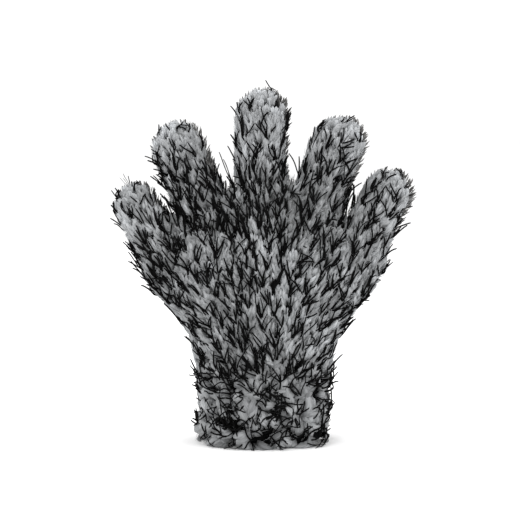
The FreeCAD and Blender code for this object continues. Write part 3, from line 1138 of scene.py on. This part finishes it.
inwards = np.concatenate([-outward, np.zeros((*stitch_distance.shape, 1))], -1)
upright = np.broadcast_to([0.0, 0.0, 1.0], inwards.shape)
thick = np.full(stitch_distance.shape, THREAD_RADIUS)
made = tubes(stitch_line, inwards, upright, thick, thick, 7)
cuff_piece("hem_stitching", made["vertices"], made["faces"], THREAD, made["grain"])

LABEL_LOW, LABEL_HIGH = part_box("care_label")
LABEL_CLOTH = 0.11 * MM        # half the satin's thickness
LABEL_ROOM = 0.06 * MM         # kept clear inside the node's box, for the waviness
LABEL_WAVE = 0.05 * MM
LABEL_WAVELENGTH = 2.2 * MM
label_middle = (LABEL_LOW.y + LABEL_HIGH.y) / 2
label_fold = (LABEL_HIGH.y - LABEL_LOW.y) / 2 - LABEL_CLOTH - LABEL_ROOM
fold_turn = np.linspace(0, math.pi, 9)
rise = np.linspace(LABEL_LOW.z, LABEL_HIGH.z - LABEL_CLOTH - label_fold, 16)


def label_leaf(radius):
    """Up one leaf of the folded label, over the fold and down the other, at a radius from its middle."""
    up = [(radius, height) for height in rise[:-1]]
    over = [(radius * math.cos(turn), rise[-1] + radius * math.sin(turn)) for turn in fold_turn]
    down = [(-radius, height) for height in rise[-2::-1]]
    return up + over + down


label_outside = label_leaf(label_fold + LABEL_CLOTH)
label_profile = np.array(label_outside + label_leaf(label_fold - LABEL_CLOTH)[::-1])
label_across = np.linspace(LABEL_LOW.x, LABEL_HIGH.x, 25)
label_vertices = np.empty((len(label_across), len(label_profile), 3))
label_vertices[..., 0] = label_across[:, None]
label_wave = LABEL_WAVE * np.sin(label_across / LABEL_WAVELENGTH)
label_vertices[..., 1] = label_middle + label_profile[:, 0] + label_wave[:, None]
label_vertices[..., 2] = label_profile[:, 1]
rows = len(label_profile)
at = np.arange(len(label_across) - 1)[:, None] * rows + np.arange(rows)
above = np.roll(at, -1, 1)
label_quads = np.stack([at, at + rows, above + rows, above], -1).reshape(-1, 4)
half = rows // 2
ends = np.arange(half - 1)
end_quads = np.stack([ends, ends + 1, rows - 2 - ends, rows - 1 - ends], 1)
last = (len(label_across) - 1) * rows
label_faces = [np.concatenate([label_quads, end_quads, end_quads[:, ::-1] + last])]
label_weave = label_vertices[..., [2, 0, 1]] / MM
label_vertices, label_weave = label_vertices.reshape(-1, 3), label_weave.reshape(-1, 3)
cuff_piece("care_label", label_vertices, label_faces, SATIN, label_weave)

# ------------------------------------------------
# Seams: a cord of folded edges along the glove's outline, with overlock thread round it

SEAM_INSET = PILE_HEIGHT - 0.6 * MM
SEAM_RADIUS = 0.9 * MM
OVERLOCK_RADIUS = 0.24 * MM
OVERLOCK_PITCH = 2.4 * MM
OVERLOCK_STEPS = 10            # points in each turn


def outline_path(step):
    """Points along the glove's outline in the plane of its sides, from one side of the cuff to the other."""
    point = np.array([[-CUFF_HALF_WIDTH, 0.0, 3 * MM]])
    path = []
    while True:
        for _ in range(2):
            slope = gradient(point, SEAM_INSET)[0] * [1, 0, 1]
            move = glove_field(point, SEAM_INSET)[0] / max(slope @ slope, FLATTEST)
            point = point - slope * np.clip(move, -3 * MM, 3 * MM)
        if path and point[0, 2] < LOWEST_ROOT:
            return np.array(path)
        path.append(point[0])
        along = np.array([slope[2], 0.0, -slope[0]])
        point = point + along / np.linalg.norm(along) * step


def finer(path, step):
    """The same path with evenly spaced points."""
    steps = np.linalg.norm(np.diff(path, axis=0), axis=1)
    distance = np.concatenate([[0], np.cumsum(steps)])
    places = np.linspace(0, distance[-1], int(distance[-1] / step) + 1)
    return np.stack([np.interp(places, distance, path[:, axis]) for axis in range(3)], 1), places


def round_tube(line, upward, radius, sides):
    """One closed round tube along a line."""
    along = unit(np.gradient(line, axis=0))
    upward = unit(upward - (upward * along).sum(1)[:, None] * along)
    thick = np.full((1, len(line)), radius)
    return tubes(line[None], upward[None], np.cross(along, upward)[None], thick, thick, sides)


def joined(parts):
    """Several tubes as one mesh."""
    shifts = np.cumsum([0] + [len(part["vertices"]) for part in parts])
    faces = []
    for kind in range(len(parts[0]["faces"])):
        faces.append(np.concatenate([part["faces"][kind] + shift for part, shift in zip(parts, shifts)]))
    vertices = np.concatenate([part["vertices"] for part in parts])
    return vertices, faces, np.concatenate([part["grain"] for part in parts])


seam_line, seam_distance = finer(outline_path(2 * MM), OVERLOCK_PITCH / OVERLOCK_STEPS)
seam_along = unit(np.gradient(seam_line, axis=0))
seam_up = np.cross(seam_along, [0.0, 1.0, 0.0])
seam_turn = (2 * math.pi * seam_distance / OVERLOCK_PITCH)[:, None]
around = seam_up * np.cos(seam_turn) + np.array([0.0, 1.0, 0.0]) * np.sin(seam_turn)
overlock_line = seam_line + around * (SEAM_RADIUS + OVERLOCK_RADIUS * 0.5)
for zone, mask, bend in zones(seam_line, owners(seam_line)):
    edges = np.flatnonzero(np.diff(np.concatenate([[0], mask.astype(int), [0]])))
    runs = [
        (start, min(end + 1, len(mask)))
        for start, end in zip(edges[::2], edges[1::2])
        if end - start > OVERLOCK_STEPS
    ]
    cords = [(seam_line[start:end:4], seam_up[start:end:4], SEAM_RADIUS, 9) for start, end in runs]
    threads = [(overlock_line[start:end], around[start:end], OVERLOCK_RADIUS, 5) for start, end in runs]
    for suffix, parts, material, slot, layer in (
        ("_seam_cord", cords, SEAM, "seam", "seam"),
        ("_overlock", threads, THREAD, "thread", None),
    ):
        vertices, faces, grain = joined([round_tube(*part) for part in parts])
        piece = new_object(zone + suffix, vertices, faces, material, {"weave": grain})
        placed(piece, zone, bend, layer)

# ------------------------------------------------
# Stage, light and camera

FLOOR_REACH = 6.0
FLOOR_GREY = 0.92
floor_mesh = bpy.data.meshes.new("floor")
floor_corners = [(x * FLOOR_REACH, y * FLOOR_REACH, 0) for x, y in ((-1, -1), (1, -1), (1, 1), (-1, 1))]
floor_mesh.from_pydata(floor_corners, [], [(0, 1, 2, 3)])
floor_mesh.materials.append(
    principled("floor_white", Roughness=0.9, Base_Color=(FLOOR_GREY, FLOOR_GREY, FLOOR_GREY, 1))[0]
)
floor = linked("floor", floor_mesh)

world = bpy.data.worlds.new("studio")
bpy.context.scene.world = world
world.use_nodes = True
background = world.node_tree.nodes["Background"]
background.inputs["Color"].default_value = (1, 1, 1, 1)
background.inputs["Strength"].default_value = 1.12

AIM = Vector((-0.003, 0, 0.137))


def facing(made, place):
    """Puts a lamp or the camera at a place, facing the glove's middle."""
    made.location = place
    made.rotation_mode = "QUATERNION"
    made.rotation_quaternion = (AIM - Vector(place)).to_track_quat("-Z", "Y")


for name, place, size, power in (
    ("key", (-0.9, -1.3, 1.3), 1.0, 14),
    ("fill", (1.1, -1.0, 0.8), 1.0, 6),
    ("top", (0.0, 0.15, 1.5), 0.5, 10),
):
    lamp = bpy.data.lights.new(name, "AREA")
    lamp.size = size
    lamp.energy = power
    facing(linked(name, lamp), place)

CAMERA_ELEVATION = math.radians(7)
CAMERA_DISTANCE = 1.083
camera_data = bpy.data.cameras.new("camera")
camera_data.lens = 100
camera = linked("camera", camera_data)
towards = Vector((0, -math.cos(CAMERA_ELEVATION), math.sin(CAMERA_ELEVATION)))
facing(camera, AIM + towards * CAMERA_DISTANCE)
bpy.context.scene.camera = camera
bpy.context.scene.view_settings.view_transform = "Standard"
